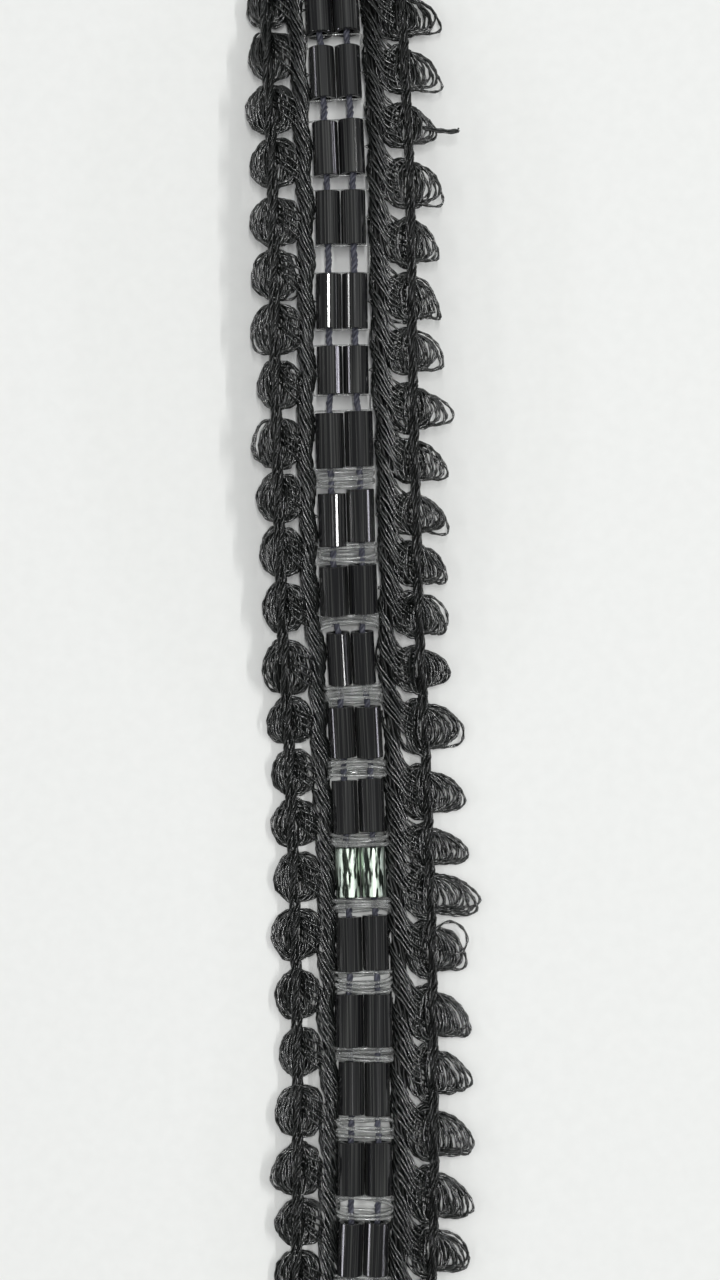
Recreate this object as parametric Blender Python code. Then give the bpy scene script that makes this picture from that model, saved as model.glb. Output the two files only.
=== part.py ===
# A cut length of black beaded gimp braid, lying face up on a table as it was put down.
# Two strings carry pairs of glass bugle beads down the middle. A clear filament winds
# between the pairs and along the beads. A twisted gimp cord lies on each side of the beads,
# and outside each cord runs a chain that carries round looped buttons of the same thread.
#
# The trim runs along Y with its face up. A place on it is given as across (from the line
# midway between the strings, + to the right), along (from the middle of its length) and
# height (over the flat back). laid() turns that into a point on the table.

import math
from collections import namedtuple

import bmesh
import bpy
from mathutils import Matrix, Vector

MM = 0.001
CLEARANCE = 0.3 * MM
UP = Vector((0.0, 0.0, 1.0))

HALF_LENGTH = 60.0 * MM
LEFT, RIGHT = -1, 1

# How the length lies: its gentle bow to the side and its lift off the table, in millimetres.
# It touches the table at both cut ends and over the 21 mm where two rows give no lift.
Lie = namedtuple("Lie", "along sideways lift")
LIES = (
    Lie(-60.0, -0.2, 0.0),
    Lie(-57.0, 0.0, 0.0),
    Lie(-44.0, 0.4, 0.6),
    Lie(-30.0, 0.3, 0.0),
    Lie(-9.0, -0.3, 0.0),
    Lie(0.0, -0.8, 1.4),
    Lie(10.0, -1.1, 2.5),
    Lie(22.0, -1.4, 2.9),
    Lie(36.0, -1.6, 2.8),
    Lie(46.0, -2.0, 2.0),
    Lie(57.0, -2.6, 0.0),
    Lie(60.0, -2.8, 0.0),
)
FRAME_STEP = 0.2 * MM

# The pairs of beads, in millimetres: the pair's middle, the length of its beads, its width
# over both, and how far the left bead has slipped back on its string.
Pair = namedtuple("Pair", "along length width slip")
PAIRS = (
    Pair(57.2, 4.2, 4.2, 0.0),
    Pair(51.6, 4.3, 4.4, 0.1),
    Pair(46.2, 4.2, 4.2, 0.0),
    Pair(40.1, 4.4, 4.2, 0.1),
    Pair(34.4, 4.4, 4.1, 0.0),
    Pair(27.6, 4.5, 4.2, 0.0),
    Pair(22.0, 3.9, 4.2, 0.0),
    Pair(16.4, 4.5, 4.7, 0.1),
    Pair(10.2, 4.3, 4.6, 0.3),
    Pair(4.3, 4.0, 4.7, 0.1),
    Pair(-1.3, 4.2, 3.9, 0.0),
    Pair(-7.5, 4.4, 4.4, -0.1),
    Pair(-13.6, 4.4, 4.3, 0.1),
    Pair(-19.1, 4.1, 4.1, 0.0),
    Pair(-24.9, 4.5, 4.3, 0.1),
    Pair(-31.3, 4.4, 4.7, 0.0),
    Pair(-37.0, 4.4, 4.2, -0.1),
    Pair(-43.4, 4.3, 4.5, 0.0),
    Pair(-49.9, 4.4, 4.2, 0.1),
    Pair(-56.0, 4.3, 4.3, 0.0),
)
BORE_RADIUS = 0.58 * MM
BEAD_SIDES = 12

STRING_RADIUS = 0.26 * MM
STRING_SIDES = 6
STRING_OVERHANG = 0.1 * MM

# The gimp cords: a flattened bundle of strands whose ridges turn slowly along the cord.
GIMP_SLIT = 0.35 * MM
GIMP_HALF_WIDTH = {LEFT: 0.76 * MM, RIGHT: 0.84 * MM}
GIMP_HALF_HEIGHT = 0.66 * MM
GIMP_AXIS_HEIGHT = 0.5 * MM
GIMP_STRANDS = 5
GIMP_RIDGE = 0.08
GIMP_STEP = 1.8 * MM
GIMP_TURN_LENGTH = {LEFT: 20.0 * MM, RIGHT: 13.0 * MM}

# The clear filament: its height over the strings and beside the beads, and its bends.
WEFT_RADIUS = 0.1 * MM
WEFT_SIDES = 5
WEFT_CREST = 1.7 * MM
WEFT_CREST_ACROSS = 2.1 * MM
WEFT_SIDE_HEIGHT = 1.45 * MM
WEFT_BESIDE_GIMP = 0.1 * MM
WEFT_TURN = 0.4 * MM

# The buttons of looped thread, in millimetres: the button's middle, how far it reaches from
# the line midway between the strings, its size along the trim, and the droop of its tip.
Button = namedtuple("Button", "along reach tall droop")
LEFT_BUTTONS = (
    Button(57.0, 7.2, 3.3, 0.0),
    Button(52.5, 7.0, 3.4, 0.0),
    Button(48.0, 7.1, 3.4, 0.0),
    Button(43.6, 7.5, 3.4, 0.1),
    Button(39.1, 7.4, 3.5, 0.0),
    Button(34.3, 7.5, 3.5, 0.0),
    Button(29.9, 7.5, 3.4, -0.1),
    Button(25.4, 7.5, 3.5, 0.0),
    Button(20.9, 7.1, 3.3, 0.0),
    Button(16.2, 7.6, 3.5, 0.2),
    Button(11.7, 7.4, 3.3, 0.1),
    Button(7.4, 7.3, 3.4, 0.0),
    Button(2.9, 7.1, 3.4, 0.1),
    Button(-1.8, 7.3, 3.5, 0.0),
    Button(-6.3, 7.3, 3.4, 0.2),
    Button(-10.7, 7.1, 3.2, 0.0),
    Button(-14.9, 7.3, 3.3, 0.1),
    Button(-19.4, 7.2, 3.4, 0.0),
    Button(-24.1, 7.5, 3.5, 0.1),
    Button(-29.0, 7.3, 3.4, 0.0),
    Button(-33.9, 7.1, 3.4, 0.1),
    Button(-38.7, 7.4, 3.5, 0.2),
    Button(-43.5, 7.8, 3.6, 0.3),
    Button(-48.0, 7.4, 3.3, 0.1),
    Button(-52.5, 7.3, 3.4, 0.0),
    Button(-57.0, 7.4, 3.3, 0.0),
)
RIGHT_BUTTONS = (
    Button(55.3, 8.6, 3.4, 0.3),
    Button(50.8, 8.9, 3.5, 0.3),
    Button(46.3, 8.8, 3.4, 0.6),
    Button(41.8, 8.0, 3.3, 0.1),
    Button(37.1, 8.4, 3.5, 0.4),
    Button(32.4, 8.1, 3.5, 0.4),
    Button(27.9, 8.2, 3.3, 1.0),
    Button(23.4, 8.3, 3.4, 0.2),
    Button(18.9, 8.9, 3.6, 0.2),
    Button(14.5, 8.4, 3.2, 0.7),
    Button(10.2, 8.3, 3.0, 0.4),
    Button(6.2, 8.2, 3.2, 0.8),
    Button(2.0, 8.2, 3.3, 0.6),
    Button(-2.6, 8.1, 3.4, 0.2),
    Button(-7.4, 9.0, 3.7, 0.2),
    Button(-12.7, 8.9, 3.6, 0.3),
    Button(-17.2, 9.1, 3.0, 0.4),
    Button(-21.0, 9.9, 3.3, 0.6),
    Button(-25.6, 8.5, 3.7, 0.3),
    Button(-30.8, 8.9, 3.7, 0.8),
    Button(-35.7, 8.9, 3.6, 0.6),
    Button(-40.6, 9.1, 3.6, 0.8),
    Button(-45.5, 9.0, 3.6, 0.8),
    Button(-50.0, 8.9, 3.4, 0.5),
    Button(-54.6, 8.7, 3.5, 0.4),
)
CHAIN_ACROSS = {LEFT: 5.5 * MM, RIGHT: 5.7 * MM}
CHAIN_THICK = 0.8 * MM
BUTTON_SIDES = 12

# A button's rings of loops, from its middle outwards: the ring's share of the button's
# radius and its height. The last ring is the rim, over a slightly smaller flat underside.
Ring = namedtuple("Ring", "share height")
BUTTON_CREST = 0.95 * MM
BUTTON_RINGS = (
    Ring(0.4, 0.8 * MM),
    Ring(0.7, 1.0 * MM),
    Ring(1.0, 0.5 * MM),
)
UNDERSIDE_SHARE = 0.92


def clear_scene():
    for item in list(bpy.data.objects):
        bpy.data.objects.remove(item, do_unlink=True)


def finish(name, colour, roughness, alpha=1.0):
    """A material of one colour, for the pieces that share it."""
    material = bpy.data.materials.new(name)
    material.use_nodes = True
    shader = material.node_tree.nodes["Principled BSDF"]
    shader.inputs["Base Color"].default_value = (*colour, 1.0)
    shader.inputs["Roughness"].default_value = roughness
    shader.inputs["Metallic"].default_value = 0.0
    shader.inputs["Alpha"].default_value = alpha
    return material


def eased(rows, column, along):
    """A table's column at a place along the trim, in metres: a smooth curve through the rows
    that never overshoots them, and stays level where two neighbours agree."""
    points = sorted((row.along * MM, getattr(row, column) * MM) for row in rows)
    if along <= points[0][0]:
        return points[0][1]
    if along >= points[-1][0]:
        return points[-1][1]
    slopes = [(b[1] - a[1]) / (b[0] - a[0]) for a, b in zip(points, points[1:])]
    tangents = [0.0]
    for before, after in zip(slopes, slopes[1:]):
        level = before * after <= 0.0
        tangents.append(0.0 if level else 2.0 * before * after / (before + after))
    tangents.append(0.0)
    index = max(i for i, point in enumerate(points[:-1]) if point[0] <= along)
    (start, low), (stop, high) = points[index], points[index + 1]
    span = stop - start
    t = (along - start) / span
    return (
        low * (1 + 2 * t) * (1 - t) ** 2
        + high * t * t * (3 - 2 * t)
        + tangents[index] * span * t * (1 - t) ** 2
        - tangents[index + 1] * span * t * t * (1 - t)
    )


def middle_line(along):
    return Vector((eased(LIES, "sideways", along), along, eased(LIES, "lift", along)))


def laid(across, along, height):
    """The point on the table of a place on the trim."""
    run = middle_line(along + FRAME_STEP) - middle_line(along - FRAME_STEP)
    right = run.cross(UP).normalized()
    up = right.cross(run).normalized()
    return middle_line(along) + across * right + height * up


def gimp_inner(along):
    """How far from the middle a gimp cord starts: a slit away from the beads there."""
    return eased(PAIRS, "width", along) / 2 + GIMP_SLIT


def gimp_outer(side, along):
    return gimp_inner(along) + 2 * GIMP_HALF_WIDTH[side] * (1 + GIMP_RIDGE)


def skin(mesh, rings, capped=True):
    """Walls between rings of vertices with equal counts, and a flat cap on each end."""
    for near, far in zip(rings, rings[1:]):
        count = len(near)
        for i in range(count):
            j = (i + 1) % count
            mesh.faces.new((near[i], near[j], far[j], far[i]))
    if capped:
        mesh.faces.new(rings[0])
        mesh.faces.new(rings[-1])


def add_object(name, mesh, material):
    bmesh.ops.recalc_face_normals(mesh, faces=mesh.faces)
    data = bpy.data.meshes.new(name)
    mesh.to_mesh(data)
    mesh.free()
    data.materials.append(material)
    item = bpy.data.objects.new(name, data)
    bpy.context.collection.objects.link(item)
    return item


def tube(name, path, radius, sides, material):
    """A round thread through the points of a path."""
    mesh = bmesh.new()
    rings = []
    for i, point in enumerate(path):
        run = path[min(i + 1, len(path) - 1)] - path[max(i - 1, 0)]
        right = run.cross(UP).normalized()
        up = right.cross(run).normalized()
        angles = [2 * math.pi * k / sides for k in range(sides)]
        offsets = [radius * (math.cos(a) * right + math.sin(a) * up) for a in angles]
        rings.append([mesh.verts.new(point + offset) for offset in offsets])
    skin(mesh, rings)
    return add_object(name, mesh, material)


def bead_radius(pair):
    return (pair.width * MM - CLEARANCE) / 4


def bead_ends(pair, side):
    """The two ends of a bead's axis. A flat of the bead lies level with the trim's back."""
    radius = bead_radius(pair)
    across = side * (CLEARANCE / 2 + radius)
    slip = pair.slip * MM if side == LEFT else 0.0
    middle = pair.along * MM - slip
    half = pair.length * MM / 2
    height = radius * math.cos(math.pi / BEAD_SIDES)
    return laid(across, middle + half, height), laid(across, middle - half, height)


def bead(name, pair, side, material):
    """A glass tube with flat cut ends, made along its own Z axis and turned onto its string."""
    far, near = bead_ends(pair, side)
    half = (far - near).length / 2
    mesh = bmesh.new()

    def ring(radius, end):
        turns = [2 * math.pi * (k + 0.5) / BEAD_SIDES for k in range(BEAD_SIDES)]
        return [mesh.verts.new((radius * math.cos(a), radius * math.sin(a), end)) for a in turns]

    outer = [ring(bead_radius(pair), end) for end in (-half, half)]
    bore = [ring(BORE_RADIUS, end) for end in (half, -half)]
    skin(mesh, [*outer, *bore, outer[0]], capped=False)
    item = add_object(name, mesh, material)
    axis = (far - near).normalized()
    right = axis.cross(UP).normalized()
    up = right.cross(axis)
    turn = Matrix((right, up, -axis)).transposed()
    item.matrix_world = Matrix.Translation((far + near) / 2) @ turn.to_4x4()
    return item


def bead_string(name, side, material):
    """The string runs straight down each bore, and bends only between the beads."""
    path = []
    for pair in PAIRS:
        far, near = bead_ends(pair, side)
        axis = (far - near).normalized()
        path += [far + STRING_OVERHANG * axis, near - STRING_OVERHANG * axis]
    first, last = path[0], path[-1]
    path.insert(0, first + Vector((0.0, HALF_LENGTH - first.y, 0.0)))
    path.append(last + Vector((0.0, -HALF_LENGTH - last.y, 0.0)))
    return tube(name, path, STRING_RADIUS, STRING_SIDES, material)


def clear_weft(name, material):
    """The clear filament crosses over the strings in each gap, then runs along the hollow
    between the beads and the gimp to the next gap, and crosses back."""

    def beside(side, along):
        across = gimp_inner(along) + WEFT_BESIDE_GIMP
        return laid(side * across, along, WEFT_SIDE_HEIGHT)

    side = LEFT
    path = [beside(side, PAIRS[0].along * MM)]
    for pair, following in zip(PAIRS, PAIRS[1:]):
        gap_start = pair.along - pair.length / 2
        gap_stop = following.along + following.length / 2
        gap = (gap_start + gap_stop) / 2 * MM
        path += [
            beside(side, gap + WEFT_TURN),
            laid(side * WEFT_CREST_ACROSS, gap, WEFT_CREST),
            laid(-side * WEFT_CREST_ACROSS, gap, WEFT_CREST),
            beside(-side, gap - WEFT_TURN),
        ]
        side = -side
    path.append(beside(side, PAIRS[-1].along * MM))
    return tube(name, path, WEFT_RADIUS, WEFT_SIDES, material)


def gimp(name, side, material):
    """A bundle of strands, ridged and turning, that follows the beads. Its back is flat."""
    mesh = bmesh.new()
    steps = round(2 * HALF_LENGTH / GIMP_STEP)
    half_width = GIMP_HALF_WIDTH[side]
    rings = []
    for step in range(steps + 1):
        along = -HALF_LENGTH + 2 * HALF_LENGTH * step / steps
        middle = (gimp_inner(along) + gimp_outer(side, along)) / 2
        turn = 2 * math.pi * along / GIMP_TURN_LENGTH[side]
        ring = []
        for k in range(2 * GIMP_STRANDS):
            angle = math.pi * k / GIMP_STRANDS + side * turn
            ridge = 1 + (GIMP_RIDGE if k % 2 == 0 else -GIMP_RIDGE)
            across = middle + half_width * ridge * math.cos(angle)
            height = GIMP_AXIS_HEIGHT + GIMP_HALF_HEIGHT * ridge * math.sin(angle)
            ring.append(mesh.verts.new(laid(side * across, along, max(height, 0.0))))
        rings.append(ring)
    skin(mesh, rings)
    return add_object(name, mesh, material)


def button(mesh, side, row):
    """One looped button. Its two wall panels on the chain's line stay open, for the chain,
    and are given back as rings of four vertices, the one nearer the start of Y first."""
    chain = CHAIN_ACROSS[side]
    inward = chain - CLEARANCE - gimp_outer(side, row.along * MM)
    outward = row.reach * MM - chain

    def ring(share, height):
        verts = []
        for k in range(BUTTON_SIDES):
            angle = 2 * math.pi * (k + 0.5) / BUTTON_SIDES
            lean = math.cos(angle) * share
            across = chain + lean * (outward if lean > 0 else inward)
            along = (row.along + row.tall / 2 * math.sin(angle) * share) * MM
            droop = row.droop * MM * max(lean, 0.0) ** 2
            verts.append(mesh.verts.new(laid(side * across, along - droop, height)))
        return verts

    crest = mesh.verts.new(laid(side * chain, row.along * MM, BUTTON_CREST))
    rings = [ring(level.share, level.height) for level in BUTTON_RINGS]
    for k in range(BUTTON_SIDES):
        mesh.faces.new((crest, rings[0][k], rings[0][(k + 1) % BUTTON_SIDES]))
    skin(mesh, rings, capped=False)
    rim, underside = rings[-1], ring(UNDERSIDE_SHARE, 0.0)
    mesh.faces.new(underside)
    far_panel = BUTTON_SIDES // 4 - 1
    near_panel = far_panel + BUTTON_SIDES // 2
    for k in range(BUTTON_SIDES):
        if k not in (far_panel, near_panel):
            j = (k + 1) % BUTTON_SIDES
            mesh.faces.new((rim[k], rim[j], underside[j], underside[k]))
    panels = []
    for inner, outer in ((near_panel, near_panel + 1), (far_panel + 1, far_panel)):
        panels.append([rim[inner], rim[outer], underside[outer], underside[inner]])
    return panels


def chain_ring(mesh, side, along):
    """A cross-section of the chain, in the same order as a button's open panel."""
    inner = CHAIN_ACROSS[side] - CHAIN_THICK / 2
    outer = inner + CHAIN_THICK
    corners = ((inner, CHAIN_THICK), (outer, CHAIN_THICK), (outer, 0.0), (inner, 0.0))
    return [mesh.verts.new(laid(side * across, along, height)) for across, height in corners]


def edging(name, side, rows, material):
    """The buttons on their chain, one piece from cut end to cut end."""
    mesh = bmesh.new()
    panels = [button(mesh, side, row) for row in rows]
    for (near, _), (_, far), row, following in zip(panels, panels[1:], rows, rows[1:]):
        back = row.along - row.tall / 2
        front = following.along + following.tall / 2
        middle = (back + front) / 2 * MM
        skin(mesh, [near, chain_ring(mesh, side, middle), far], capped=False)
    for panel, end in ((panels[0][1], HALF_LENGTH), (panels[-1][0], -HALF_LENGTH)):
        stub = chain_ring(mesh, side, end)
        skin(mesh, [panel, stub], capped=False)
        mesh.faces.new(stub)
    return add_object(name, mesh, material)


clear_scene()
thread = finish("black_thread", (0.022, 0.026, 0.024), 0.7)
navy_string = finish("navy_string", (0.03, 0.03, 0.06), 0.6)
glass = finish("black_glass", (0.012, 0.012, 0.014), 0.08)
filament = finish("clear_filament", (0.85, 0.86, 0.88), 0.1, alpha=0.35)

edging("left_edging", LEFT, LEFT_BUTTONS, thread)
edging("right_edging", RIGHT, RIGHT_BUTTONS, thread)
gimp("left_gimp", LEFT, thread)
gimp("right_gimp", RIGHT, thread)
bead_string("left_bead_string", LEFT, navy_string)
bead_string("right_bead_string", RIGHT, navy_string)
clear_weft("clear_weft", filament)
for number, pair in enumerate(PAIRS, start=1):
    bead(f"bead_left_{number:02d}", pair, LEFT, glass)
    bead(f"bead_right_{number:02d}", pair, RIGHT, glass)
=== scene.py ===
import math
import random
from collections import namedtuple

import bpy
import numpy as np
from mathutils import Matrix, Vector


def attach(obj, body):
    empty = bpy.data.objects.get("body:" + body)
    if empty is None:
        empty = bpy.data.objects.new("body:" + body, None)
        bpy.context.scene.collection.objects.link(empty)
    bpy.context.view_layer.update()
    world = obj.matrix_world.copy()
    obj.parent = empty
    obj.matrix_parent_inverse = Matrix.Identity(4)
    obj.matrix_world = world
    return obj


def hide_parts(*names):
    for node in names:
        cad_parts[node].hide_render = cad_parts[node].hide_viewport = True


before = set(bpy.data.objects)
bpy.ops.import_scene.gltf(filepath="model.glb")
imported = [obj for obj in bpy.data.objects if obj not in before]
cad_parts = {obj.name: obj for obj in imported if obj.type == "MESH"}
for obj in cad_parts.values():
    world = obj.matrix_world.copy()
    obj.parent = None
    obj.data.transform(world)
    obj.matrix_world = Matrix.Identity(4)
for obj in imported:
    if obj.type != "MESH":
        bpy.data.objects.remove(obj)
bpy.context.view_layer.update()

bpy.ops.object.select_all(action="DESELECT")

# Camera. The photograph looks straight down on the middle of the trim's length, and its long
# side takes in 105 mm at the height of the trim's face.
CAMERA_HEIGHT = 0.32
FACE_HEIGHT = 0.002
PHOTO_LENGTH = 0.105

bpy.ops.object.camera_add(location=(0.0, 0.0, CAMERA_HEIGHT), rotation=(0.0, 0.0, 0.0))
camera = bpy.context.object
camera.data.lens = camera.data.sensor_width * (CAMERA_HEIGHT - FACE_HEIGHT) / PHOTO_LENGTH
bpy.context.scene.camera = camera

# Table and light. The trim lies on a plain white table in soft room light. Long narrow lights
# to both sides give the glass its thin bright lines, and the trim its pair of soft shadows.
TABLE_SIZE = 8.0
TABLE_GAP = 0.00003
TABLE_GRAIN = 900.0
TABLE_WHITES = ((0.80, 0.805, 0.79), (0.82, 0.825, 0.81))
ROOM_GREYS = ((0.25, 0.257, 0.253), (0.8, 0.82, 0.81))
WINDOW_SIDE = (0.25, 0.45, 0.857)
WINDOW_EDGE = (0.78, 0.95)
NARROW = (0.008, 0.4)


def start_finish(name):
    """A new material: itself, its nodes, its links and its shader."""
    finish = bpy.data.materials.new(name)
    finish.use_nodes = True
    tree = finish.node_tree
    return finish, tree.nodes, tree.links, tree.nodes["Principled BSDF"]


def noise(nodes, links, scale, detail=2.0):
    """A noise texture on the object's own coordinates, in grains to the metre."""
    place = nodes.new("ShaderNodeTexCoord")
    texture = nodes.new("ShaderNodeTexNoise")
    texture.inputs["Scale"].default_value = scale
    texture.inputs["Detail"].default_value = detail
    links.new(place.outputs["Object"], texture.inputs["Vector"])
    return texture


def ramp(nodes, links, source, target, low, high, start=0.3, stop=0.7):
    """Feeds a socket with colours or greys that run from low to high."""
    blend = nodes.new("ShaderNodeValToRGB")
    blend.color_ramp.elements[0].position = start
    blend.color_ramp.elements[1].position = stop
    blend.color_ramp.elements[0].color = (*low, 1.0)
    blend.color_ramp.elements[1].color = (*high, 1.0)
    links.new(source, blend.inputs["Fac"])
    links.new(blend.outputs["Color"], target)
    return blend


def light(name, place, size, power, colour=(1.0, 1.0, 1.0)):
    """A soft light that faces the trim, with its long side along the trim."""
    bpy.ops.object.light_add(type="AREA", location=place)
    lamp = bpy.context.object
    lamp.name = name
    lamp.data.shape = "RECTANGLE"
    lamp.data.size, lamp.data.size_y = size
    lamp.data.energy = power
    lamp.data.color = colour
    away = Vector(place).normalized()
    across = Vector((0.0, 1.0, 0.0)).cross(away).normalized()
    turn = Matrix((across, away.cross(across), away)).transposed()
    lamp.rotation_euler = turn.to_euler()
    return lamp


bpy.ops.mesh.primitive_plane_add(size=TABLE_SIZE, location=(0.0, 0.0, -TABLE_GAP))
table = bpy.context.object
table.name = "table"
table_finish, nodes, links, shader = start_finish("white_table")
grain = noise(nodes, links, TABLE_GRAIN)
ramp(nodes, links, grain.outputs["Fac"], shader.inputs["Base Color"], *TABLE_WHITES)
shader.inputs["Roughness"].default_value = 0.6
shader.inputs["Specular IOR Level"].default_value = 0.2
table.data.materials.append(table_finish)

room = bpy.data.worlds.new("room")
room.use_nodes = True
nodes, links = room.node_tree.nodes, room.node_tree.links
direction = nodes.new("ShaderNodeTexCoord")
facing = nodes.new("ShaderNodeVectorMath")
facing.operation = "DOT_PRODUCT"
facing.inputs[1].default_value = WINDOW_SIDE
links.new(direction.outputs["Generated"], facing.inputs[0])
glow = nodes["Background"].inputs["Color"]
ramp(nodes, links, facing.outputs["Value"], glow, *ROOM_GREYS, *WINDOW_EDGE)
bpy.context.scene.world = room
bpy.context.scene.view_settings.view_transform = "Standard"

lights = (
    light("light_above", (0.03, 0.06, 0.9), (0.01, 0.3), 2.7),
    light("light_right", (0.36, 0.0, 0.46), NARROW, 0.98),
    light("light_left", (-0.26, 0.0, 0.52), NARROW, 0.25),
    light("light_left_low", (-0.5, 0.0, 0.34), NARROW, 0.28),
    light("line_right", (0.42, 0.0, 0.12), NARROW, 0.2, (0.9, 0.88, 1.0)),
    light("line_left", (-0.42, 0.0, 0.15), NARROW, 0.2, (0.92, 0.9, 1.0)),
)

# Glass beads. Twenty pairs of black tubes, cut from drawn glass rod, so that fine flutes run
# down their sides and their cut ends are lightly melted. They are threaded on two strings.
LEFT, RIGHT = -1, 1
SIDE_NAMES = {LEFT: "left", RIGHT: "right"}

# Sizes from here on are in millimetres, and MM makes metres of them.
MM = 0.001
FRAME_STEP = 0.2
BEAD_RADIUS = 1.0
BEAD_LENGTH = 4.3
BEAD_GAP = 0.05
BORE_RADIUS = 0.58
BEAD_SIDES = 40
FLUTE_DEPTH = 0.008
RIM = 0.07
TURNS_TRIED = 800
TURN_RANGE = 1.6
CAUGHT_WEIGHT = 20.0
WELL_MISSED = 0.03

# How the length lies: its bow to the side and its lift off the table.
Lie = namedtuple("Lie", "along sideways lift")
LIES = (
    Lie(-60.0, -0.2, 0.0),
    Lie(-57.0, 0.0, 0.0),
    Lie(-44.0, 0.4, 0.6),
    Lie(-30.0, 0.3, 0.0),
    Lie(-9.0, -0.3, 0.0),
    Lie(0.0, -0.8, 1.4),
    Lie(10.0, -1.1, 2.5),
    Lie(22.0, -1.4, 2.9),
    Lie(36.0, -1.6, 2.8),
    Lie(46.0, -2.0, 2.0),
    Lie(57.0, -2.6, 0.0),
    Lie(60.0, -2.8, 0.0),
)

# The pairs: their middle, the length of the beads, the width over both, and how far the left
# bead has slipped back.
Pair = namedtuple("Pair", "along length width slip")
PAIRS = (
    Pair(57.2, 4.2, 4.2, 0.0),
    Pair(51.6, 4.3, 4.4, 0.1),
    Pair(46.2, 4.2, 4.2, 0.0),
    Pair(40.1, 4.4, 4.2, 0.1),
    Pair(34.4, 4.4, 4.1, 0.0),
    Pair(27.6, 4.5, 4.2, 0.0),
    Pair(22.0, 3.9, 4.2, 0.0),
    Pair(16.4, 4.5, 4.7, 0.1),
    Pair(10.2, 4.3, 4.6, 0.3),
    Pair(4.3, 4.0, 4.7, 0.1),
    Pair(-1.3, 4.2, 3.9, 0.0),
    Pair(-7.5, 4.4, 4.4, -0.1),
    Pair(-13.6, 4.4, 4.3, 0.1),
    Pair(-19.1, 4.1, 4.1, 0.0),
    Pair(-24.9, 4.5, 4.3, 0.1),
    Pair(-31.3, 4.4, 4.7, 0.0),
    Pair(-37.0, 4.4, 4.2, -0.1),
    Pair(-43.4, 4.3, 4.5, 0.0),
    Pair(-49.9, 4.4, 4.2, 0.1),
    Pair(-56.0, 4.3, 4.3, 0.0),
)

# The lights that the flutes of a pair's left and right bead mirror up to the camera, by the
# pair's number. The other beads are turned so that they mirror none.
CAUGHT = {
    4: (("line_right",), ("light_right",)),
    6: (("light_above",), ("light_left_low",)),
    7: (("line_right",), ("line_left",)),
    9: (("light_right",), ("line_right",)),
    11: (("line_right",), ()),
    12: (("line_left",), ("line_right",)),
    19: (("line_left", "light_right"), ("line_left", "line_right")),
}
# The pair whose beads get long pale silvery metal patches: painted reflection for the broad bright
# reflections on that pair, though the lamps still mirror in them.
PAINTED_REFLECTION_PAIR = 14


def bent(start, stop, leaving, arriving, t):
    """Places on a smooth bend from start to stop, with the slopes at its two ends."""
    return (
        start * (1 + 2 * t) * (1 - t) ** 2
        + stop * t * t * (3 - 2 * t)
        + leaving * t * (1 - t) ** 2
        - arriving * t * t * (1 - t)
    )


def eased(rows, column, along):
    """A table's column at places along the trim: a smooth curve through the rows that never
    overshoots them, and stays level where two neighbours agree."""
    rows = sorted(rows)
    places = np.array([row.along for row in rows])
    values = np.array([getattr(row, column) for row in rows])
    spans = np.diff(places)
    slopes = np.diff(values) / spans
    before, after = slopes[:-1], slopes[1:]
    level = before * after <= 0.0
    tangents = np.zeros(len(rows))
    tangents[1:-1] = np.where(level, 0.0, 2 * before * after / np.where(level, 1.0, before + after))
    along = np.clip(along, places[0], places[-1])
    index = np.clip(np.searchsorted(places, along, side="right") - 1, 0, len(rows) - 2)
    span = spans[index]
    t = (along - places[index]) / span
    leaving, arriving = tangents[index] * span, tangents[index + 1] * span
    return bent(values[index], values[index + 1], leaving, arriving, t)


def middle_line(along):
    """Where the middle of the trim's underside lies, in millimetres."""
    return np.stack([eased(LIES, "sideways", along), along, eased(LIES, "lift", along)], axis=-1)


def right_and_up(run):
    """The directions to the right of a run, level with the table, and up from it."""
    right = np.cross(run, (0.0, 0.0, 1.0))
    right /= np.linalg.norm(right, axis=-1, keepdims=True)
    up = np.cross(right, run)
    up /= np.linalg.norm(up, axis=-1, keepdims=True)
    return right, up


def laid(across, along, height):
    """The points in the scene, in metres, of places on the trim, in millimetres: across from
    the middle line, + to the right, along from the middle of the length, and up from its
    underside."""
    across, along, height = np.broadcast_arrays(across, along, height)
    along = np.asarray(along, dtype=float)
    right, up = right_and_up(middle_line(along + FRAME_STEP) - middle_line(along - FRAME_STEP))
    return MM * (middle_line(along) + across[..., None] * right + height[..., None] * up)


def bead_ends(pair, side):
    """The two ends of a bead's axis, and its radius in millimetres."""
    radius = (pair.width - BEAD_GAP) / 4
    across = side * (BEAD_GAP / 2 + radius)
    middle = pair.along - (pair.slip if side == LEFT else 0.0)
    far = Vector(laid(across, middle + pair.length / 2, radius))
    near = Vector(laid(across, middle - pair.length / 2, radius))
    return far, near, radius


def pull(reach, size=1.0):
    """Carries the selected ring on by a reach along Z, to a new size."""
    bpy.ops.mesh.extrude_region_move(TRANSFORM_OT_translate={"value": (0.0, 0.0, reach)})
    bpy.ops.transform.resize(value=(size, size, 1.0))


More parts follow.
